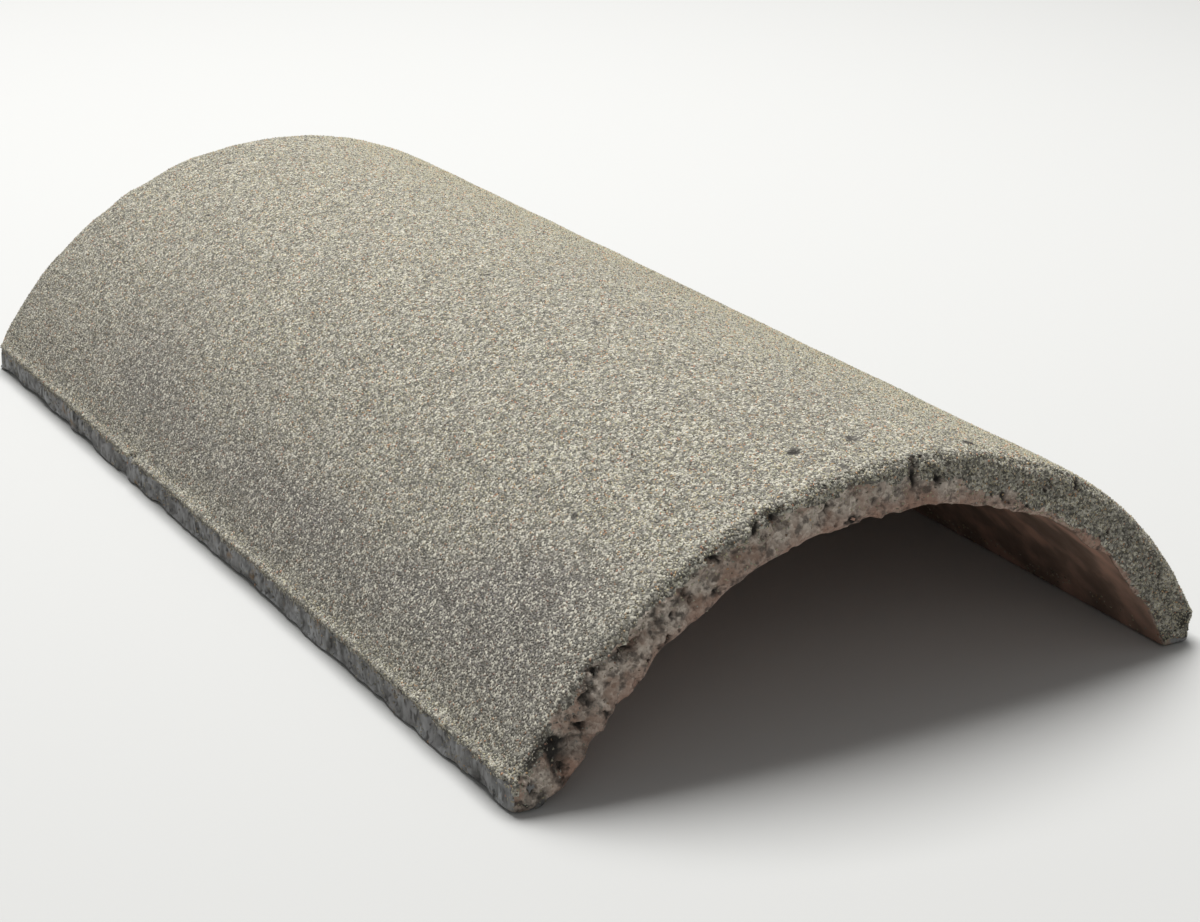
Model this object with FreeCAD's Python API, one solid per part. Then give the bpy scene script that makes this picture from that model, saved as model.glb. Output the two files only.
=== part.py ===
"""Segmental ridge tile: one cast concrete solid, a shallow arch on two feet.

Millimetres. X is across the ridge, Y runs along it and Z is up. The origin is at the
middle of the rectangle that the two feet stand in, on the plane they stand on.
"""

import FreeCAD
import Part

import math
import os

# Driving sizes
LENGTH = 458.0  # along the ridge, from end face to end face
SPAN = 265.0  # across, over the flanks
RISE = 89.0  # from the feet to the crown
WALL = 17.5  # thickness of the arch, square to its surface
FLANK = 10.0  # height of the upright strip between each foot and the arch
SHOULDER_ROUND = 5.0  # radius where the arch turns into each flank
FOOT_ROUND = 2.0  # radius of each foot's outer edge
END_ROUND = 5.0  # radius of each end face's edge on the arch, the flanks and the feet
LIP_ROUND = 2.0  # radius of the edge of the hollow, round its ends and along the feet

# The top and the underside of the arch are circles about one centre, below the feet.
arch_rise = RISE - FLANK
outer_radius = ((SPAN / 2) ** 2 + arch_rise**2) / (2 * arch_rise)
centre_z = RISE - outer_radius
inner_radius = outer_radius - WALL
flank_x = SPAN / 2
foot_inner_x = math.sqrt(inner_radius**2 - centre_z**2)


def point(x, z):
    return FreeCAD.Vector(x, -LENGTH / 2, z)


def section():
    """The section of the tile as a face on the plane of its -Y end."""
    return Part.Face(Part.Wire([
        Part.Arc(point(-flank_x, FLANK), point(0, RISE), point(flank_x, FLANK)).toShape(),
        Part.makeLine(point(flank_x, FLANK), point(flank_x, 0)),
        Part.makeLine(point(flank_x, 0), point(foot_inner_x, 0)),
        Part.Arc(point(foot_inner_x, 0), point(0, RISE - WALL), point(-foot_inner_x, 0)).toShape(),
        Part.makeLine(point(-foot_inner_x, 0), point(-flank_x, 0)),
        Part.makeLine(point(-flank_x, 0), point(-flank_x, FLANK)),
    ]))


def middle_of(edge):
    return edge.valueAt((edge.FirstParameter + edge.LastParameter) / 2)


def long_edges(shape, x, z):
    """The edge that runs the tile's whole length at this height, on each side."""
    found = []
    for edge in shape.Edges:
        middle = middle_of(edge)
        if FreeCAD.Vector(abs(middle.x), middle.y, middle.z).isEqual(FreeCAD.Vector(x, 0, z), 0.01):
            found.append(edge)
    return found


def end_edges(shape, of_the_hollow):
    """The end faces' edges, either those of the hollow under the arch or all the others."""
    found = []
    for edge in shape.Edges:
        middle = middle_of(edge)
        at_an_end = abs(abs(middle.y) - LENGTH / 2) < 0.01
        on_the_hollow = abs(math.hypot(middle.x, middle.z - centre_z) - inner_radius) < 0.01
        if at_an_end and on_the_hollow == of_the_hollow:
            found.append(edge)
    return found


def ridge_tile():
    tile = section().extrude(FreeCAD.Vector(0, LENGTH, 0))
    tile = tile.makeFillet(SHOULDER_ROUND, long_edges(tile, flank_x, FLANK))
    tile = tile.makeFillet(FOOT_ROUND, long_edges(tile, flank_x, 0))
    tile = tile.makeFillet(END_ROUND, end_edges(tile, of_the_hollow=False))
    # This edge now runs on smoothly into the foot's inner edge, which is rounded with it.
    return tile.makeFillet(LIP_ROUND, end_edges(tile, of_the_hollow=True))


tile = ridge_tile()
os.makedirs("parts", exist_ok=True)
tile.exportStep("parts/ridge_tile.step")

box = tile.optimalBoundingBox(False)
print("solids:", len(tile.Solids), "valid:", tile.isValid())
print("size:", [round(size, 3) for size in (box.XLength, box.YLength, box.ZLength)])
print("volume in litres:", round(tile.Volume / 1e6, 4))
print("foot width:", round(flank_x - foot_inner_x, 2), "arch radius:", round(outer_radius, 2))
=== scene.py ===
"""Finishes a concrete segmental ridge tile: the worn casting, its sand facing and a studio."""

import itertools
import math

import bpy
import numpy as np
from bpy.props import FloatProperty, FloatVectorProperty, IntProperty, PointerProperty
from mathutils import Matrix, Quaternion, Vector


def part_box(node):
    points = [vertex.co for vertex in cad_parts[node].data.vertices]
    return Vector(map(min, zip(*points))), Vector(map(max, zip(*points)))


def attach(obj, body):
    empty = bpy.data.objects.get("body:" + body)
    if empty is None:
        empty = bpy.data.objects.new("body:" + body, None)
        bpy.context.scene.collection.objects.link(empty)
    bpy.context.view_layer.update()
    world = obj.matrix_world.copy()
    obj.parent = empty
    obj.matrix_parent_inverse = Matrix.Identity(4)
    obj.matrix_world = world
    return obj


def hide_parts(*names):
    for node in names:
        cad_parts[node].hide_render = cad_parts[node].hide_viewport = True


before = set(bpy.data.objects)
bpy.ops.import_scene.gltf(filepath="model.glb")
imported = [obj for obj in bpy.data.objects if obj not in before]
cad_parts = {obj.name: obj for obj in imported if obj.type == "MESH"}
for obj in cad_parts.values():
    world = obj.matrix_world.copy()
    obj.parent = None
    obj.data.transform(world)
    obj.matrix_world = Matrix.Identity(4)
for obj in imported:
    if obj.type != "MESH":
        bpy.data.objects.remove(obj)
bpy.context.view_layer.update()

bl_info = {
    "name": "Segmental ridge tile",
    "version": (1, 0, 0),
    "blender": (4, 5, 0),
    "location": "3D View > Sidebar > Ridge tile",
    "description": "Wears a cast ridge tile, faces it with sand and lights it",
    "category": "Add Mesh",
}

MM = 0.001
NODE = "ridge_tile"
BODY = "root"
LOW, HIGH = (np.array(corner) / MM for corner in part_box(NODE))
SPAN, LENGTH, RISE = HIGH - LOW
BAKE_MAP = "OFBake"  # the name of the map that a bake of the colours keeps
END_BAND = 9  # millimetres in from an end within which a facet can belong to it
SAND_FACED, FLOATED, BROKEN, MOULDED = range(4)  # the finishes, as the casting lists them


def linear(hex_colour):
    """An sRGB hex value as three linear numbers."""
    parts = [int(hex_colour[i:i + 2], 16) / 255 for i in (1, 3, 5)]
    return [c / 12.92 if c <= 0.04045 else ((c + 0.055) / 1.055) ** 2.4 for c in parts]


# ---------------------------------------------------------------- settings


def length(name, description, default, **more):
    return FloatProperty(name=name, description=description, default=default, unit="LENGTH", **more)


def colour(name, description, default):
    return FloatVectorProperty(
        name=name, description=description, default=linear(default), subtype="COLOR", min=0, max=1
    )


class CastingSettings(bpy.types.PropertyGroup):
    wall: length("Wall", "Thickness of the arch", 17.5 * MM)
    flank: length("Flank", "Height of the upright strip over each foot", 10 * MM)
    fineness: length("Fineness", "Facet size of the worn surface before it is thinned", 0.85 * MM)
    triangles: IntProperty(name="Triangles", description="Most triangles kept", default=190000)
    seed: IntProperty(name="Seed", description="Picks another pattern of wear", default=4)


class SandSettings(bpy.types.PropertyGroup):
    grain: length("Grain", "Middle size of a grain of sand", 1.4 * MM)
    spacing: length("Spacing", "Least distance between two grains", 0.82 * MM)
    sink: length("Sink", "How deep a grain's middle lies in the cement", 0.2 * MM)
    pieces: IntProperty(name="Pieces", description="Meshes that share the sand", default=5)
    seed: IntProperty(name="Seed", description="Picks another scatter of grains", default=11)


class FinishSettings(bpy.types.PropertyGroup):
    paste: colour("Paste", "Cement between the grains of sand", "#706d65")
    sand_dark: colour("Dark sand", "Flint and slate grains", "#4c4942")
    sand_mid: colour("Middle sand", "Most of the grains", "#a5a195")
    sand_light: colour("Light sand", "Washed quartz grains", "#bfbbab")
    edge: colour("Edge", "Smoothed cement of the flanks", "#7c7b7a")
    broken: colour("Broken", "Inside of the casting on its ends", "#aa9f92")
    underside: colour("Underside", "Surface that lay on the mould", "#cfae99")
    floor: colour("Floor", "Studio floor", "#b4b4b2")


class StudioSettings(bpy.types.PropertyGroup):
    azimuth: FloatProperty(
        name="Azimuth", description="Camera's turn round the tile", default=math.radians(-31.61),
        subtype="ANGLE",
    )
    elevation: FloatProperty(
        name="Elevation", description="Camera's angle above the floor", default=math.radians(20.59),
        subtype="ANGLE",
    )
    roll: FloatProperty(
        name="Roll", description="Camera's tilt to one side", default=math.radians(1.81),
        subtype="ANGLE",
    )
    distance: length("Distance", "From the camera to its target", 0.8872)
    target: FloatVectorProperty(
        name="Target", description="What the camera looks at", default=(-0.0147, -0.0784, 0.0394),
        subtype="TRANSLATION",
    )
    lens: FloatProperty(name="Lens", description="Focal length in millimetres", default=76.02)


# ---------------------------------------------------------------- shape of the tile, in millimetres


class Section:
    """The arch's section, and where a point lies on it."""

    def __init__(self, wall, flank):
        self.wall, self.flank = wall / MM, flank / MM
        rise = RISE - self.flank
        self.outer = ((SPAN / 2) ** 2 + rise**2) / (2 * rise)
        self.centre = RISE - self.outer

    def place(self, points):
        """Each point's angle from the crown in degrees, depth under the top and gap to its end."""
        x, y, z = points.T
        angle = np.degrees(np.arctan2(x, z - self.centre))
        deep = self.outer - np.hypot(x, z - self.centre)
        return angle, deep, LENGTH / 2 - np.abs(y)

    def point(self, angle, deep, y):
        turn = np.radians(angle)
        reach = self.outer - deep
        return np.array([reach * np.sin(turn), y, self.centre + reach * np.cos(turn)])

    def outward(self, points):
        """The direction away from the arch's axis."""
        x, _, z = points.T
        away = np.stack([x, 0 * x, z - self.centre], 1)
        return away / np.linalg.norm(away, axis=1, keepdims=True)


def ramp(value, low, high):
    """0 below low, 1 above high and a smooth rise between them; high may be the lower one."""
    t = np.clip((value - low) / (high - low), 0, 1)
    return t * t * (3 - 2 * t)


# Odd numbers that scramble a lattice point's place into a whole number with no pattern to it.
PLACE_MIX = np.array([73856093, 19349663, 83492791])
FIRST_MIX, SECOND_MIX = 1274126177, 668265263
WHOLE_MASK = 0x7FFFFFFF


def noise(points, lump, seed, octaves=1):
    """Smooth random values from about -1 to 1, with lumps of that size."""
    total, weights = np.zeros(len(points)), 0
    for octave in range(octaves):
        at = points * 2**octave / lump + 31.7 * seed + 7.3 * octave
        cell = np.floor(at).astype(np.int64)
        t = at - cell
        t = t * t * (3 - 2 * t)
        for corner in itertools.product((0, 1), repeat=3):
            share = np.prod(np.where(corner, t, 1 - t), axis=1)
            key = (cell + corner) @ PLACE_MIX + 97 * seed
            key = (key ^ (key >> 13)) * FIRST_MIX & WHOLE_MASK
            key = (key ^ (key >> 15)) * SECOND_MIX & WHOLE_MASK
            total += share * ((key >> 8) % 2001 / 1000 - 1) / 2**octave
        weights += 0.6 / 2**octave
    return np.clip(total / weights, -1, 1)


# Air holes in the front end: angle from the crown, depth under the top, width and depth.
FRONT_PITS = (
    (-41, 8, 4, 4), (-49, 6, 4.2, 3.2), (-46, 4.5, 3, 2), (-52, 2, 2.5, 1.5), (-52, 11, 3, 2.5),
    (-57, 13, 3.4, 2.2), (-61, 6, 3, 1.5), (-37, 16, 2.5, 2), (-32, 11, 2, 1.5), (-35, 10, 2, 1.2),
    (-49, 16.5, 2.5, 2), (-27, 5, 4, 2.2), (-21, 5.5, 3, 1.6), (-18, 6, 4.5, 2.4), (-11, 10, 3, 1.8),
    (-4, 12, 2, 1), (2, 6.5, 5.5, 2.2), (6, 9, 4, 2.4), (17, 14, 3.5, 1.6), (29, 4, 3, 1),
    (38, 11, 2, 0.8), (51, 8, 2.5, 0.8), (-55, 5, 2, 1.2), (-29, 14, 2, 1.2),
)
# Small bare hollows in the top: angle from the crown, distance from the front end, width.
TOP_PITS = (
    (-5, 158, 3.2), (13, 189, 3), (20, 220, 2.5), (5, 131, 2.5), (-9, 25, 4), (-1, 23, 5),
    (2, 104, 2.5), (-7, 228, 2.5), (-33, 57, 3.5), (-7, 7, 3), (13, 12, 3.5), (-13, 430, 3),
    (-12, 447, 3), (-21, 365, 3), (-24, 388, 2.5), (3, 444, 2.5), (-59, 312, 3), (34, 300, 3),
    (48, 120, 3), (28, 60, 2.5), (40, 395, 3),
)
# Knocks: which edge point, which way out of the tile, ball radius and how far the ball bites.
CORNER_KNOCKS = (
    ((-1, -1, 0), (-0.6, -1, -0.9), 14, 3.6),
    ((-0.885, -1, 0), (0.8, -0.8, -1), 16, 5.0),
    ((1, -1, 0), (1, -0.15, -1), 26, 3.8),
    ((-1, 1, 0), (-0.5, 1, -0.8), 16, 4.5),
    ((-1, 1, 0.1), (-1, 1, 0), 20, 7.5),
    ((1, 1, 0), (0.7, 1, -0.8), 14, 3.2),
    ((1, -1, 0.08), (1, -0.5, -0.2), 24, 4.6),
    ((-1, 1, 0), (-1, 0.9, -0.6), 20, 5.0),
    ((-1, 0.35, 0.06), (-1, 0, -1), 6, 1.9),
    ((-1, 0.3, 0.12), (-1, 0, 1), 5, 1.6),
)


def end_pits(section, seed):
    """The middle, width and depth of each air hole in the two ends."""
    rng = np.random.default_rng(seed + 1)
    pits = [(section.point(a, d, -LENGTH / 2), width, depth) for a, d, width, depth in FRONT_PITS]
    for end, count in ((-1, 16), (1, 45)):
        for _ in range(count):
            place = section.point(rng.uniform(-61, 61), rng.uniform(2, 17), end * LENGTH / 2)
            width = 1.1 + 2.4 * rng.random() ** 3
            pits.append((place, width, 0.7 * width))
    return pits


def in_pit(points, middle, width, seed):
    """Which points are near a pit, and how far inside it they are, from 0 to 1."""
    near = np.flatnonzero((np.abs(points - middle) < (6, 9, 6)).all(axis=1))
    offset = (points[near] - middle) * (1, 0.2, 1)
    # Each hole is drawn out along a line of its own.
    along = np.array([math.cos(middle[0]), 0, math.sin(middle[0])])
    offset -= 0.4 * (offset @ along)[:, None] * along
    apart = np.linalg.norm(offset, axis=1)
    apart *= 1.15 + 0.95 * noise(points[near], 0.5 * width, seed + 6, 3)
    return near, ramp(apart, width / 2 + 0.5, width / 4)


def bite(points, centre, radius, seed):
    """Takes a chip out: what lies inside a slightly lumpy ball moves out to its surface."""
    near = np.flatnonzero(np.abs(points[:, 1] - centre[1]) < radius)
    away = points[near] - centre
    distance = np.linalg.norm(away, axis=1)
    ball = radius * (1 + 0.05 * noise(points[near], radius / 3, seed, 2))
    inside = distance < ball
    push = away[inside] * (ball[inside] / np.maximum(distance[inside], 0.01))[:, None]
    points[near[inside]] = centre + push


def knock_edges(points, section, rng):
    """Chips along the hollow's two end edges and along the foot of each flank."""
    for end in (-1, 1):
        for angle in np.arange(-59, 60, 2.4) + rng.uniform(-1.5, 1.5, 50):
            radius, depth = rng.uniform(2, 6), rng.uniform(0.3, 2.3)
            edge = section.point(angle, section.wall, end * LENGTH / 2)
            inward = section.point(angle, section.wall + 1, 0) - section.point(angle, section.wall, 0)
            out = inward * rng.uniform(0.6, 1.2) + np.array([0, end, 0])
            out /= np.linalg.norm(out)
            bite(points, edge + out * (radius - depth), radius, int(rng.integers(1000)))
    for side in (-1, 1):
        for y in rng.uniform(-LENGTH / 2, LENGTH / 2, 34):
            radius, depth = rng.uniform(3, 9), rng.uniform(0.3, 1.1)
            out = np.array([side, 0, -0.9])
            out /= np.linalg.norm(out)
            edge = np.array([side * SPAN / 2, y, 0])
            bite(points, edge + out * (radius - depth), radius, int(rng.integers(1000)))
    half = np.array([SPAN / 2, LENGTH / 2, RISE])
    for place, out, radius, depth in CORNER_KNOCKS:
        out = np.array(out) / np.linalg.norm(out)
        bite(points, np.array(place) * half + out * (radius - depth), radius, 7)


def wear(points, normals, section, seed):
    """Moves the surface of the plain casting in, as casting, weather and handling have."""
    angle, deep, to_end = section.place(points)
    x, z = points[:, 0], points[:, 2]
    up_share = np.einsum("ij,ij->i", normals, section.outward(points))
    on_end = ramp(np.abs(normals[:, 1]), 0.3, 0.8)
    on_top = ramp(up_share, 0.3, 0.8) * ramp(z, section.flank, section.flank + 3)
    on_hollow = ramp(-up_share, 0.3, 0.8)
    on_flank = ramp(np.abs(normals[:, 0]), 0.92, 0.98) * ramp(z, section.flank + 2, section.flank)

    drag = points * (1, 1, 0.14)  # lumps drawn out upwards, as a float leaves them
    # The sand stands on the casting, so the casting itself is a little under size.
    faced = np.maximum(np.maximum(on_top, on_end), on_flank)
    dips = 0.25 * noise(points, 80, seed) + 0.14 * noise(points, 17, seed)
    loss = 0.05 + 0.5 * faced + on_top * (0.3 + dips)
    pitted = ramp(noise(points, 3.2, seed + 14, 3), 0.2, 0.55)
    loss += on_flank * (0.15 + 0.2 * noise(drag, 2.6, seed, 2) + 0.3 * noise(points, 20, seed))
    loss += on_flank * 0.9 * pitted
    rough = 0.5 + 0.5 * noise(points, 6, seed + 1, 3)
    crumbled = 2.0 * rough**1.5 + 0.6 * noise(points, 2.6, seed + 2, 2)
    loss += on_end * (0.1 + crumbled * ramp(deep, 0.5, 6))
    # Along each foot's outer edge the concrete has crumbled.
    foot = np.exp(-((SPAN / 2 - np.abs(x)) ** 2 + z**2) / 7)
    loss += foot * (0.6 + 1.4 * noise(points * (0, 1, 0), 13, seed + 13, 3)).clip(0, 2.2)
    loss += on_hollow * (0.4 + 0.3 * noise(points, 45, seed + 3))

    # The arris between the top and each end is rubbed round.
    arris = np.exp(-(np.maximum(deep, 0) ** 2 + to_end**2) / 30)
    loss += arris * (1.2 + 0.9 * noise(points, 11, seed + 4, 2))
    # The hollow's end edge has a ragged fin that hangs a little below the underside.
    fin = np.exp(-((section.wall - deep) ** 2 + to_end**2) / 12) * ramp(deep, 8, 15)
    loss -= fin * (1.0 + 1.3 * noise(points, 9, seed + 5, 2)) * ramp(np.abs(angle), 62, 54)
    # The sand stands up in a soft lip just over each flank.
    lip = np.exp(-(((z - section.flank - 1.6) / 1.7) ** 2)) * ramp(np.abs(x), 120, 127)
    loss -= lip * (0.45 + 0.5 * noise(points, 14, seed + 7, 2)) * ramp(to_end, 4, 14)
    points = points - normals * loss[:, None]

    for middle, width, depth in end_pits(section, seed):
        near, share = in_pit(points, middle, width, seed)
        points[near, 1] -= np.sign(middle[1]) * depth * share * on_end[near]
    for pit_angle, from_front, width in TOP_PITS:
        middle = section.point(pit_angle, 0, from_front - LENGTH / 2)
        apart = np.linalg.norm(points - middle, axis=1)
        points -= normals * (0.7 * ramp(apart, width / 2 + 0.6, width / 4) * on_top)[:, None]
    knock_edges(points, section, np.random.default_rng(seed))
    return np.clip(points, LOW + 0.02, HIGH - 0.02)


# ---------------------------------------------------------------- meshes


def numbers(items, name, width):
    found = np.empty(len(items) * width, np.float32)
    items.foreach_get(name, found)
    return found.astype(float).reshape(-1, width)


def with_modifier(mesh, kind, **settings):
    """A new mesh: the given one with a single modifier applied. The given one is removed."""
    thing = bpy.data.objects.new("working", mesh)
    bpy.context.scene.collection.objects.link(thing)
    modifier = thing.modifiers.new("step", kind)
    for name, value in settings.items():
        setattr(modifier, name, value)
    result = bpy.data.meshes.new_from_object(thing.evaluated_get(bpy.context.evaluated_depsgraph_get()))
    bpy.data.objects.remove(thing)
    bpy.data.meshes.remove(mesh)
    return result


def add_piece(name, mesh):
    piece = bpy.data.objects.new(name, mesh)
    bpy.context.scene.collection.objects.link(piece)
    return piece


def triangle_count(mesh):
    return len(mesh.loops) - 2 * len(mesh.polygons)


def cover_of_sand(points, normals, section, seed):
    """From 0 where the casting is bare to 1 where sand covers it."""
    angle, deep, to_end = section.place(points)
    z = points[:, 2]
    ragged = noise(points, 6, seed + 8, 3)
    top = ramp(z + 1.5 * ragged, section.flank - 3.5, section.flank + 0.5) * ramp(deep, 7, 4)
    # On the front end the sand runs further in on the right-hand leg.
    front = np.interp(angle, (-60, -40, -20, 0, 15, 60), (3.5, 4, 5, 7, 13, 19))
    reach = np.where(points[:, 1] < 0, front, 8)
    end = ramp(deep + 2.5 * ragged, reach + 2, reach - 2)
    end = np.maximum(end, 0.45 * ramp(deep + 3 * ragged, reach + 8, reach))
    cover = np.where((to_end < 6) & (np.abs(normals[:, 1]) > 0.45), end, top)
    cover *= ramp(z, 1, 4)
    for pit_angle, from_front, width in TOP_PITS:
        middle = section.point(pit_angle, 0, from_front - LENGTH / 2)
        cover *= ramp(np.linalg.norm(points - middle, axis=1), width / 2 + 0.3, width / 2 + 0.8)
    on_end = ramp(np.abs(normals[:, 1]), 0.4, 0.7) * (to_end < END_BAND)
    cover = np.maximum(cover, 0.12 * on_end * ramp(ragged, -0.5, 0.1))
    on_flank = (np.abs(normals[:, 0]) > 0.8) & (z < section.flank) & (z > 1)
    cover = np.maximum(cover, 0.22 * on_flank * ramp(ragged, -0.1, 0.3))
    for middle, width, _ in end_pits(section, seed):
        near, share = in_pit(points, middle, width, seed)
        cover[near] *= 1 - share
    return np.clip(cover, 0, 1)


def blotch_and_hole_shade_of(points, normals, section, seed):
    """Black in the air holes and in the top's bare hollows, which is painted shade, and dark blotches
    just inside each end's outer edge and low down on each end.
    """
    angle, deep, to_end = section.place(points)
    on_end = ramp(np.abs(normals[:, 1]), 0.2, 0.5) * (to_end < END_BAND)
    blotch = noise(points, 4.5, seed + 12, 3)
    most = 0.4 + 0.5 * ramp(angle, -15, -40)
    blotch_and_hole_shade = most * ramp(blotch, 0.1, 0.55) * np.exp(-(((deep - 6) / 4) ** 2)) * on_end
    blotch_and_hole_shade += 0.6 * ramp(blotch, -0.3, 0.3) * on_end * ramp(points[:, 2], 36, 6)
    # Painted shade: the top's bare hollows are painted black.
    for pit_angle, from_front, width in TOP_PITS:
        middle = section.point(pit_angle, 0, from_front - LENGTH / 2)
        apart = np.linalg.norm(points - middle, axis=1) * (1 + 0.5 * blotch)
        blotch_and_hole_shade = np.maximum(blotch_and_hole_shade, ramp(apart, width / 2 + 0.8, width / 4))
    # Painted shade: the air holes are painted black.
    for middle, width, _ in end_pits(section, seed):
        near, share = in_pit(points, middle, width, seed)
        blotch_and_hole_shade[near] = np.maximum(blotch_and_hole_shade[near], share)
    return np.clip(blotch_and_hole_shade, 0, 1)


def stains_and_shade_of(points, section, seed):
    """From 0 where the top is clean to 1 where it is darkened grey, low on the left-hand side: stains
    in a strip, a patch and clouds, and painted shade over the whole lower left-hand slope.
    """
    angle, _, _ = section.place(points)
    from_front = points[:, 1] + LENGTH / 2
    cloud = noise(points, 55, seed + 9, 3)
    strip = np.exp(-((angle + 51 - 3 * cloud) / 6.5) ** 2) * ramp(from_front, 420, 260)
    patch = np.exp(-((angle + 40) / 7) ** 2 - ((from_front - 36) / 30) ** 2)
    on_end = ramp(LENGTH / 2 - np.abs(points[:, 1]), 5, 2)
    lip = np.exp(-(((points[:, 2] - section.flank - 2.5) / 2) ** 2))
    # Painted shade: the whole lower left-hand slope is darkened.
    low = ramp(angle, -26, -46) * 0.45
    stain_and_shade_amount = low + 0.55 * strip + 0.5 * patch + 0.3 * cloud
    return np.clip(np.maximum(stain_and_shade_amount * (1 - 0.7 * lip), 0.1 * on_end), 0, 1)


def store(mesh, name, values):
    mesh.attributes.new(name, "FLOAT", "POINT").data.foreach_set("value", values.astype(np.float32))


def unroll(mesh, section, ends):
    """Lays the top, the underside and the two ends out flat on one map, at one scale."""
    gap = 8  # millimetres between two strips of the map
    layer = mesh.uv_layers.new(name=BAKE_MAP)
    corners = np.empty(len(mesh.loops), np.int32)
    mesh.loops.foreach_get("vertex_index", corners)
    points = numbers(mesh.vertices, "co", 3)[corners] / MM
    of_face = np.empty(len(mesh.polygons), np.int32)
    mesh.polygons.foreach_get("loop_total", of_face)
    centres = np.repeat(numbers(mesh.polygons, "center", 3) / MM, of_face, axis=0)
    facing = np.repeat(numbers(mesh.polygons, "normal", 3), of_face, axis=0)
    end = np.repeat(ends, of_face)

    angle, deep, _ = section.place(points)
    around = np.radians(angle) * (section.outer - deep)
    _, deep_here, _ = section.place(centres)
    side = np.sign(centres[:, 0])
    # The top's strip goes on down each flank, and then in under its foot.
    half_arch = section.outer * math.asin(SPAN / 2 / section.outer)
    skin = np.where(
        centres[:, 2] > section.flank, side * np.minimum(np.abs(around), half_arch),
        side * (half_arch + section.flank - points[:, 2]),
    )
    foot = (facing[:, 2] < -0.7) & (centres[:, 2] < 3)
    skin = np.where(foot, side * (half_arch + section.flank + SPAN / 2 - np.abs(points[:, 0])), skin)
    strip = 2 * (half_arch + section.flank + section.wall)
    under = (deep_here > section.wall / 2) & ~foot & (np.abs(facing[:, 0]) < 0.99)
    u = np.where(under, around + strip * 1.5 + gap, skin + strip / 2)
    v = points[:, 1] + LENGTH / 2
    u = np.where(end, around + strip / 2 + (points[:, 1] > 0) * (strip + gap), u)
    v = np.where(end, LENGTH + gap + deep, v)
    size = 2 * strip + 2 * gap
    uv = np.stack([(u + gap / 2) / size, (v + gap / 2) / size], 1).astype(np.float32)
    layer.uv.foreach_set("vector", uv.ravel())


class RIDGE_TILE_OT_casting(bpy.types.Operator):
    """Make the worn concrete casting from the plain one"""

    bl_idname = "ridge_tile.casting"
    bl_label = "Casting"

    def execute(self, context):
        settings = context.scene.ridge_casting
        section = Section(settings.wall, settings.flank)
        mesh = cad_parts[NODE].data.copy()
        mesh = with_modifier(mesh, "WELD", merge_threshold=0.001 * MM)
        mesh = with_modifier(mesh, "REMESH", mode="VOXEL", voxel_size=settings.fineness)
        points = numbers(mesh.vertices, "co", 3) / MM
        normals = numbers(mesh.vertices, "normal", 3)
        worn = wear(points, normals, section, settings.seed) * MM
        mesh.vertices.foreach_set("co", worn.astype(np.float32).ravel())
        share = settings.triangles / triangle_count(mesh)
        mesh = with_modifier(mesh, "DECIMATE", ratio=share, use_collapse_triangulate=True)
        mesh.materials.clear()

        points = numbers(mesh.vertices, "co", 3) / MM
        normals = numbers(mesh.vertices, "normal", 3)
        store(mesh, "sand", cover_of_sand(points, normals, section, settings.seed))
        # Stains, and painted shade on the lower left-hand slope.
        store(mesh, "stains_and_shade", stains_and_shade_of(points, section, settings.seed))
        # Painted shade in the holes and hollows, with dark blotches on the ends.
        store(mesh, "blotch_and_hole_shade", blotch_and_hole_shade_of(points, normals, section, settings.seed))
        store(mesh, "rim", ramp(section.place(points)[1], section.wall - 5.5, section.wall - 0.5))
        self.choose_finishes(mesh, section, context.scene.ridge_finish, settings.seed)
        mesh.shade_smooth()

        piece = add_piece("tile_body", mesh)
        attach(piece, BODY)
        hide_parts(NODE)
        return {"FINISHED"}

    def choose_finishes(self, mesh, section, finish, seed):
        centres = numbers(mesh.polygons, "center", 3) / MM
        facing = numbers(mesh.polygons, "normal", 3)
        _, deep, to_end = section.place(centres)
        z = centres[:, 2]
        ragged = noise(centres, 5, seed + 10, 2)
        is_end = (np.abs(facing[:, 1]) > 0.5) & (to_end < END_BAND)
        sand = numbers(mesh.attributes["sand"].data, "value", 1)[:, 0]
        first = np.empty(len(mesh.polygons), np.int32)
        mesh.polygons.foreach_get("loop_start", first)
        corners = np.empty(len(mesh.loops), np.int32)
        mesh.loops.foreach_get("vertex_index", corners)
        sandy = sand[corners[first]] > 0.5
        under = (deep > section.wall - 2.5) & (to_end > 2.5 + ragged) & ~is_end
        low = (z < section.flank - 1 + 1.5 * ragged) & (to_end > 2.5 + ragged)
        kind = np.full(len(centres), BROKEN)
        kind[low] = FLOATED
        kind[under] = MOULDED
        kind[(sandy | (deep < 2)) & ~low & ~is_end] = SAND_FACED
        kind[sandy & is_end] = SAND_FACED
        for make in (sand_faced_concrete, floated_cement, broken_concrete, moulded_underside):
            mesh.materials.append(make(finish))
        mesh.polygons.foreach_set("material_index", kind.astype(np.int32))
        unroll(mesh, section, is_end)


# ---------------------------------------------------------------- node trees


def node(tree, kind, inputs=None, **settings):
    """Adds a node, with its settings, and gives its inputs their values or links."""
    new = tree.nodes.new(kind)
    for name, value in settings.items():
        setattr(new, name, value)
    for name, value in (inputs or {}).items():
        socket = new.inputs[name]
        if isinstance(value, bpy.types.NodeSocket):
            tree.links.new(value, socket)
        else:
            socket.default_value = value
    return new


def new_material(name):
    material = bpy.data.materials.new(name)
    material.use_nodes = True
    tree = material.node_tree
    tree.nodes.clear()
    coordinates = node(tree, "ShaderNodeTexCoord").outputs["Object"]
    return material, tree, coordinates


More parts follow.
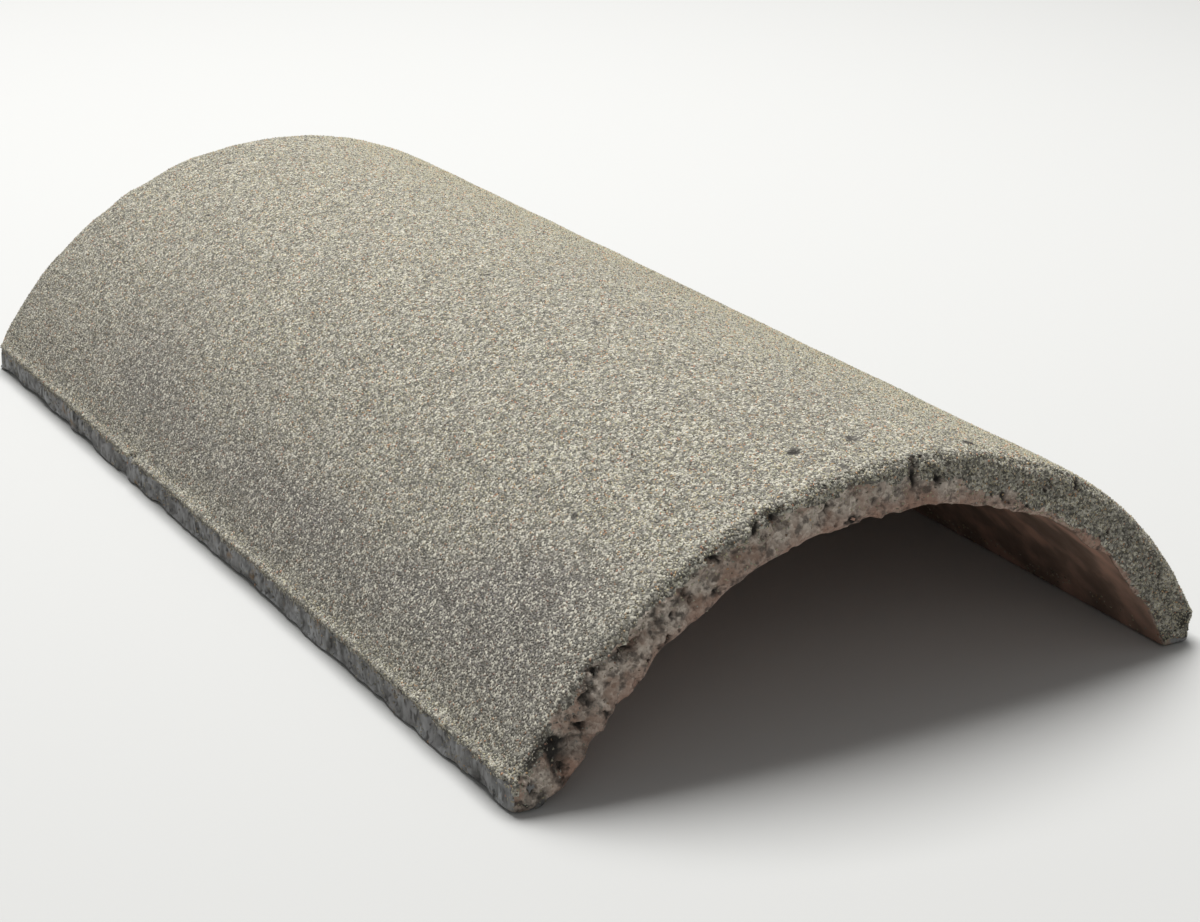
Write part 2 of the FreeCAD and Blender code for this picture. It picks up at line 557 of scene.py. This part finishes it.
def finish_material(tree, base, roughness, height=None, bump_mm=0.2, ior=1.5):
    inputs = {"Base Color": base, "Roughness": roughness, "IOR": ior}
    if height is not None:
        bump = node(tree, "ShaderNodeBump", {"Height": height, "Distance": bump_mm * MM, "Strength": 1})
        inputs["Normal"] = bump.outputs[0]
    shader = node(tree, "ShaderNodeBsdfPrincipled", inputs)
    node(tree, "ShaderNodeOutputMaterial", {"Surface": shader.outputs[0]})


def shade(*rgb):
    return (*rgb, 1)


def ramp_node(tree, value, stops):
    """A colour ramp with a list of (position, linear colour) stops."""
    new = node(tree, "ShaderNodeValToRGB", {"Fac": value})
    elements = new.color_ramp.elements
    while len(elements) < len(stops):
        elements.new(0.5)
    for element, (position, colour_at) in zip(elements, stops):
        element.position = position
        element.color = shade(*colour_at)
    return new.outputs["Color"]


def mix(tree, factor, first, second, blend_type="MIX"):
    new = node(tree, "ShaderNodeMix", data_type="RGBA", blend_type=blend_type)
    for socket, value in zip((new.inputs[0], new.inputs[6], new.inputs[7]), (factor, first, second)):
        if isinstance(value, bpy.types.NodeSocket):
            tree.links.new(value, socket)
        else:
            socket.default_value = value
    return new.outputs[2]


def spread(tree, texture, low, high, most=1.0):
    """A texture's value from 0 at low to most at high."""
    return node(tree, "ShaderNodeMapRange", {
        "Value": texture.outputs["Fac"], "From Min": low, "From Max": high, "To Max": most,
    }).outputs[0]


def sand_faced_concrete(finish):
    """Cement paste that holds the facing sand: dull, dark and gritty between the grains."""
    material, tree, at = new_material("Sand-faced concrete")
    grit = node(tree, "ShaderNodeTexVoronoi", {"Vector": at, "Scale": 1 / (0.8 * MM)})
    tone = node(tree, "ShaderNodeSeparateColor", {"Color": grit.outputs["Color"]}).outputs[0]
    base = ramp_node(tree, tone, (
        (0.0, finish.sand_dark), (0.5, finish.paste), (0.8, finish.sand_mid), (1.0, finish.sand_light),
    ))
    # Painted shade: the top's bare hollows and the holes are darkened to near black.
    blotch_and_hole_shade = node(tree, "ShaderNodeAttribute", attribute_name="blotch_and_hole_shade")
    base = mix(tree, blotch_and_hole_shade.outputs["Fac"], base, shade(*linear("#26221d")))
    height = node(tree, "ShaderNodeMath", {0: 1.0, 1: grit.outputs["Distance"]}, operation="SUBTRACT")
    finish_material(tree, base, 0.95, height.outputs[0], 0.25)
    return material


def sand_grains(finish):
    """Quartz and flint sand: dull grains from grey through honey to a few pale or reddish ones."""
    material, tree, _ = new_material("Quartz and flint sand")
    tone = node(tree, "ShaderNodeAttribute", attribute_name="tone").outputs["Fac"]
    hue = node(tree, "ShaderNodeAttribute", attribute_name="hue").outputs["Fac"]
    stains_and_shade = node(tree, "ShaderNodeAttribute", attribute_name="stains_and_shade").outputs["Fac"]
    base = ramp_node(tree, tone, (
        (0.0, finish.sand_dark), (0.3, finish.sand_mid), (0.95, finish.sand_mid),
        (1.0, finish.sand_light),
    ))
    tint = ramp_node(tree, hue, (
        (0.0, linear("#dfe6e4")), (0.3, linear("#e6e8d6")), (0.6, linear("#fbf4d8")),
        (0.85, linear("#ffffff")), (0.94, linear("#ffdcaa")), (1.0, linear("#ffbfa4")),
    ))
    base = mix(tree, 1.0, base, tint, "MULTIPLY")
    # Grains turn a darker grey where there are stains, and as painted shade on the lower left-hand
    # slope.
    stained_and_shaded = mix(tree, 1.0, base, shade(*linear("#a8a2b6")), "MULTIPLY")
    stained_and_shaded = mix(tree, 0.3, stained_and_shaded, shade(*finish.paste))
    base = mix(tree, stains_and_shade, base, stained_and_shaded)
    finish_material(tree, base, 0.75)
    return material


def floated_cement(finish):
    """Cement wiped smooth up the flanks: blue-grey with pale and dark streaks, rusty in spots."""
    material, tree, at = new_material("Floated cement edge")
    drawn = node(tree, "ShaderNodeMapping", {"Vector": at, "Scale": (1, 1, 0.45)}).outputs[0]
    lines = node(tree, "ShaderNodeTexNoise", {"Vector": drawn, "Scale": 1 / (3.4 * MM), "Detail": 5})
    cloud = node(tree, "ShaderNodeTexNoise", {"Vector": at, "Scale": 1 / (11 * MM), "Detail": 4})
    spots = node(tree, "ShaderNodeTexNoise", {"Vector": at, "Scale": 1 / (10 * MM), "Detail": 2})
    specks = node(tree, "ShaderNodeTexNoise", {"Vector": drawn, "Scale": 1 / (1.6 * MM), "Detail": 3})
    dark, pale = shade(*linear("#4d4c49")), shade(*linear("#979898"))
    base = mix(tree, spread(tree, lines, 0.36, 0.64), dark, pale)
    base = mix(tree, spread(tree, cloud, 0.4, 0.7), base, shade(*finish.edge))
    base = mix(tree, spread(tree, specks, 0.54, 0.66, 0.85), base, shade(*linear("#3a3836")))
    base = mix(tree, spread(tree, spots, 0.66, 0.72, 0.6), base, shade(*linear("#7a6040")))
    finish_material(tree, base, 0.8, lines.outputs["Fac"], 0.5)
    return material


def broken_concrete(finish):
    """The casting's own concrete on its rough ends: pinkish grey and gritty, with painted shade, dark
    to black, in its holes.
    """
    material, tree, at = new_material("Rough cast concrete")
    grit = node(tree, "ShaderNodeTexVoronoi", {"Vector": at, "Scale": 1 / (1.1 * MM)})
    tone = node(tree, "ShaderNodeSeparateColor", {"Color": grit.outputs["Color"]}).outputs[0]
    cloud = node(tree, "ShaderNodeTexNoise", {"Vector": at, "Scale": 1 / (9 * MM), "Detail": 4})
    holes = node(tree, "ShaderNodeTexNoise", {"Vector": at, "Scale": 1 / (2.6 * MM), "Detail": 5})
    blotch_and_hole_shade = node(tree, "ShaderNodeAttribute", attribute_name="blotch_and_hole_shade")
    base = mix(tree, tone, shade(*linear("#75695f")), shade(*linear("#d6cabd")))
    base = mix(tree, 0.45, base, shade(*finish.broken))
    base = mix(tree, spread(tree, cloud, 0.44, 0.62, 0.75), base, shade(*linear("#846857")))
    rim = node(tree, "ShaderNodeAttribute", attribute_name="rim")
    base = mix(tree, spread(tree, rim, 0.0, 1.0, 0.5), base, shade(*linear("#9a7868")))
    # Painted shade: dark spots where the small holes are.
    base = mix(tree, spread(tree, holes, 0.52, 0.66, 0.75), base, shade(*linear("#403a35")))
    # Painted shade: the air holes black, along with the dark blotches of the ends.
    base = mix(tree, blotch_and_hole_shade.outputs["Fac"], base, shade(*linear("#1d1a16")))
    height = mix(tree, 0.5, grit.outputs["Distance"], holes.outputs["Fac"])
    finish_material(tree, base, 0.92, height, 0.9)
    return material


def moulded_underside(finish):
    """Concrete that set against an oiled mould: smooth, reddish brown in faint streaks, with painted
    shade darkening it low down.
    """
    material, tree, at = new_material("Moulded concrete underside")
    cloud = node(tree, "ShaderNodeTexNoise", {"Vector": at, "Scale": 1 / (35 * MM), "Detail": 5})
    fine = node(tree, "ShaderNodeTexNoise", {"Vector": at, "Scale": 1 / (2 * MM), "Detail": 4})
    base = mix(tree, cloud.outputs["Fac"], shade(*linear("#564237")), shade(*finish.underside))
    dark, pale = shade(*linear("#5c4a40")), shade(*linear("#a88f7e"))
    base = mix(tree, 0.3, base, mix(tree, fine.outputs["Fac"], dark, pale))
    drawn = node(tree, "ShaderNodeMapping", {"Vector": at, "Scale": (0.3, 1, 1)}).outputs[0]
    streaks = node(tree, "ShaderNodeTexNoise", {"Vector": drawn, "Scale": 1 / (14 * MM), "Detail": 5})
    base = mix(tree, spread(tree, streaks, 0.46, 0.66, 0.8), base, shade(*linear("#dcae98")))
    base = mix(tree, spread(tree, streaks, 0.5, 0.3, 0.5), base, shade(*linear("#5a4438")))
    place = node(tree, "ShaderNodeSeparateXYZ", {0: at}).outputs
    # Painted shade: darker towards the bottom of the hollow.
    low = node(tree, "ShaderNodeMapRange", {
        "Value": place["Z"], "From Min": 34 * MM, "From Max": 2 * MM, "To Max": 0.5,
    }).outputs[0]
    base = mix(tree, low, base, shade(*linear("#3c2b23")))
    finish_material(tree, base, 0.7, fine.outputs["Fac"], 0.15)
    return material


def sand_tree():
    """Geometry Nodes that scatter grains over a mesh where its "sand" attribute says."""
    tree = bpy.data.node_groups.new("Sand facing", "GeometryNodeTree")
    interface = tree.interface
    interface.new_socket("Geometry", in_out="OUTPUT", socket_type="NodeSocketGeometry")
    for name, kind in (
        ("Geometry", "Geometry"), ("Grain", "Float"), ("Spacing", "Float"), ("Sink", "Float"),
        ("From", "Float"), ("To", "Float"), ("Seed", "Int"), ("Finish", "Material"),
    ):
        interface.new_socket(name, in_out="INPUT", socket_type="NodeSocket" + kind)
    given = node(tree, "NodeGroupInput").outputs
    y = node(tree, "ShaderNodeSeparateXYZ", {0: node(tree, "GeometryNodeInputPosition").outputs[0]})
    after = node(tree, "FunctionNodeCompare", {0: y.outputs["Y"], 1: given["From"]},
                 operation="GREATER_EQUAL")
    before = node(tree, "FunctionNodeCompare", {0: y.outputs["Y"], 1: given["To"]},
                  operation="LESS_THAN")
    inside = node(tree, "FunctionNodeBooleanMath", {0: after.outputs[0], 1: before.outputs[0]})
    cover = node(tree, "GeometryNodeInputNamedAttribute", {"Name": "sand"}, data_type="FLOAT")
    scatter = node(tree, "GeometryNodeDistributePointsOnFaces", {
        "Mesh": given["Geometry"], "Selection": inside.outputs[0], "Distance Min": given["Spacing"],
        "Density Max": 6 / MM**2, "Density Factor": cover.outputs[0], "Seed": given["Seed"],
    }, distribute_method="POISSON")
    points = scatter.outputs["Points"]
    for index, name in enumerate(("tone", "hue")):
        value = node(tree, "FunctionNodeRandomValue", {"Seed": index + 1}, data_type="FLOAT")
        points = node(tree, "GeometryNodeStoreNamedAttribute", {
            "Geometry": points, "Name": name, "Value": value.outputs[1],
        }, data_type="FLOAT", domain="POINT").outputs[0]
    depth = node(tree, "ShaderNodeMath", {0: given["Sink"], 1: -1.0}, operation="MULTIPLY")
    down = node(tree, "ShaderNodeVectorMath", {
        0: scatter.outputs["Normal"], "Scale": depth.outputs[0],
    }, operation="SCALE")
    points = node(tree, "GeometryNodeSetPosition", {
        "Geometry": points, "Offset": down.outputs[0],
    }).outputs[0]
    turn = node(tree, "FunctionNodeRandomValue", {
        0: (0, 0, 0), 1: (math.tau, math.tau, math.tau), "Seed": 3,
    }, data_type="FLOAT_VECTOR")
    stretch = node(tree, "FunctionNodeRandomValue", {
        0: (0.75, 0.75, 0.6), 1: (1.2, 1.2, 0.9), "Seed": 4,
    }, data_type="FLOAT_VECTOR")
    radius = node(tree, "ShaderNodeMath", {0: given["Grain"], 1: 0.5}, operation="MULTIPLY")
    grain = node(tree, "GeometryNodeMeshUVSphere", {
        "Segments": 3, "Rings": 2, "Radius": radius.outputs[0],
    })
    grains = node(tree, "GeometryNodeInstanceOnPoints", {
        "Points": points, "Instance": grain.outputs["Mesh"], "Rotation": turn.outputs[0],
        "Scale": stretch.outputs[0],
    })
    real = node(tree, "GeometryNodeRealizeInstances", {"Geometry": grains.outputs[0]})
    done = node(tree, "GeometryNodeSetMaterial", {
        "Geometry": real.outputs[0], "Material": given["Finish"],
    })
    node(tree, "NodeGroupOutput", {"Geometry": done.outputs[0]})
    return tree


GRAIN_FACES = 6  # two caps of three triangles


def map_grains(mesh):
    """Gives each grain a cell of its own on the map, which all its faces share."""
    grain = np.arange(len(mesh.polygons)) // GRAIN_FACES
    across = math.ceil(math.sqrt(grain[-1] + 1))
    cell = np.stack([grain % across, grain // across], 1)
    corner = np.array([(0.1, 0.1), (0.9, 0.1), (0.1, 0.9)])
    uv = (cell[:, None, :] + corner[None]) / across
    layer = mesh.uv_layers.new(name=BAKE_MAP)
    layer.uv.foreach_set("vector", uv.astype(np.float32).ravel())


class RIDGE_TILE_OT_sand(bpy.types.Operator):
    """Scatter the facing sand over the casting"""

    bl_idname = "ridge_tile.sand"
    bl_label = "Sand facing"

    def execute(self, context):
        """Each mesh holds the sand of one length of the tile, so that none grows too big."""
        settings = context.scene.ridge_sand
        body = bpy.data.objects["tile_body"]
        tree = sand_tree()
        finish = sand_grains(context.scene.ridge_finish)
        sockets = {item.name: item.identifier for item in tree.interface.items_tree
                   if item.in_out == "INPUT"}
        step = LENGTH * MM / settings.pieces
        for number in range(settings.pieces):
            base = bpy.data.objects.new("working", body.data.copy())
            context.scene.collection.objects.link(base)
            modifier = base.modifiers.new("Sand", "NODES")
            modifier.node_group = tree
            start = -LENGTH * MM / 2 + number * step
            # The first and the last length reach well past the tile's ends.
            for name, value in (
                ("Grain", settings.grain), ("Spacing", settings.spacing), ("Sink", settings.sink),
                ("From", start - (number == 0)), ("To", start + step + (number == settings.pieces - 1)),
                ("Seed", settings.seed + number), ("Finish", finish),
            ):
                modifier[sockets[name]] = value
            depsgraph = context.evaluated_depsgraph_get()
            mesh = bpy.data.meshes.new_from_object(base.evaluated_get(depsgraph))
            copy = base.data
            bpy.data.objects.remove(base)
            bpy.data.meshes.remove(copy)
            if BAKE_MAP in mesh.uv_layers:
                mesh.uv_layers.remove(mesh.uv_layers[BAKE_MAP])
            inside = np.clip(numbers(mesh.vertices, "co", 3), LOW * MM, HIGH * MM)
            mesh.vertices.foreach_set("co", inside.astype(np.float32).ravel())
            map_grains(mesh)
            mesh.shade_smooth()
            piece = add_piece(f"sand_{number + 1}", mesh)
            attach(piece, BODY)
        return {"FINISHED"}


# ---------------------------------------------------------------- studio


class RIDGE_TILE_OT_studio(bpy.types.Operator):
    """Set up the floor, the lights and the camera"""

    bl_idname = "ridge_tile.studio"
    bl_label = "Studio"

    def execute(self, context):
        self.floor(context)
        self.lights(context)
        self.camera(context)
        context.scene.view_settings.view_transform = "Standard"
        return {"FINISHED"}

    def floor(self, context):
        half = 6  # metres from the tile to each edge of the floor
        mesh = bpy.data.meshes.new("floor")
        mesh.from_pydata(
            [(-half, -half, 0), (half, -half, 0), (half, half, 0), (-half, half, 0)], [], [(0, 1, 2, 3)]
        )
        material, tree, _ = new_material("Matt studio paper")
        finish_material(tree, shade(*context.scene.ridge_finish.floor), 0.9)
        mesh.materials.append(material)
        add_piece("floor", mesh)

    def lights(self, context):
        for name, place, size, power in (
            ("overhead", (0.15, 0.75, 2.2), 1.6, 105),
            ("front fill", (-1.2, -2.2, 1.3), 1.8, 7),
        ):
            data = bpy.data.lights.new(name, "AREA")
            data.size, data.energy = size, power
            light = bpy.data.objects.new(name, data)
            light.location = place
            light.rotation_euler = Vector(place).to_track_quat("Z", "Y").to_euler()
            context.scene.collection.objects.link(light)
        world = bpy.data.worlds.new("studio")
        world.use_nodes = True
        background = world.node_tree.nodes["Background"]
        background.inputs["Color"].default_value = shade(1, 1, 1)
        background.inputs["Strength"].default_value = 0.25
        context.scene.world = world

    def camera(self, context):
        settings = context.scene.ridge_studio
        turn, tilt = settings.azimuth, settings.elevation
        back = Vector((
            math.sin(turn) * math.cos(tilt), -math.cos(turn) * math.cos(tilt), math.sin(tilt)
        ))
        data = bpy.data.cameras.new("camera")
        data.lens = settings.lens
        data.sensor_width = 36  # millimetres, a full frame
        data.clip_start = 10 * MM
        camera = bpy.data.objects.new("camera", data)
        camera.location = Vector(settings.target) + back * settings.distance
        camera.rotation_mode = "QUATERNION"
        camera.rotation_quaternion = (
            back.to_track_quat("Z", "Y") @ Quaternion((0, 0, 1), settings.roll)
        )
        context.scene.collection.objects.link(camera)
        context.scene.camera = camera


# ---------------------------------------------------------------- panel and run


class RIDGE_TILE_PT_panel(bpy.types.Panel):
    """Sizes, colours and steps of the ridge tile"""

    bl_idname = "RIDGE_TILE_PT_panel"
    bl_label = "Ridge tile"
    bl_space_type = "VIEW_3D"
    bl_region_type = "UI"
    bl_category = "Ridge tile"

    def draw(self, context):
        for key, (settings, operator) in STEPS.items():
            box = self.layout.box()
            group = getattr(context.scene, key)
            for name in settings.__annotations__:
                box.prop(group, name)
            if operator:
                box.operator(operator.bl_idname)


STEPS = {
    "ridge_finish": (FinishSettings, None),
    "ridge_casting": (CastingSettings, RIDGE_TILE_OT_casting),
    "ridge_sand": (SandSettings, RIDGE_TILE_OT_sand),
    "ridge_studio": (StudioSettings, RIDGE_TILE_OT_studio),
}
CLASSES = [c for pair in STEPS.values() for c in pair if c] + [RIDGE_TILE_PT_panel]


def register():
    for item in CLASSES:
        bpy.utils.register_class(item)
    for key, (settings, _) in STEPS.items():
        setattr(bpy.types.Scene, key, PointerProperty(type=settings))


def unregister():
    for key in STEPS:
        delattr(bpy.types.Scene, key)
    for item in reversed(CLASSES):
        bpy.utils.unregister_class(item)


def main():
    register()
    bpy.ops.ridge_tile.casting()
    bpy.ops.ridge_tile.sand()
    bpy.ops.ridge_tile.studio()


if __name__ == "__main__":
    main()
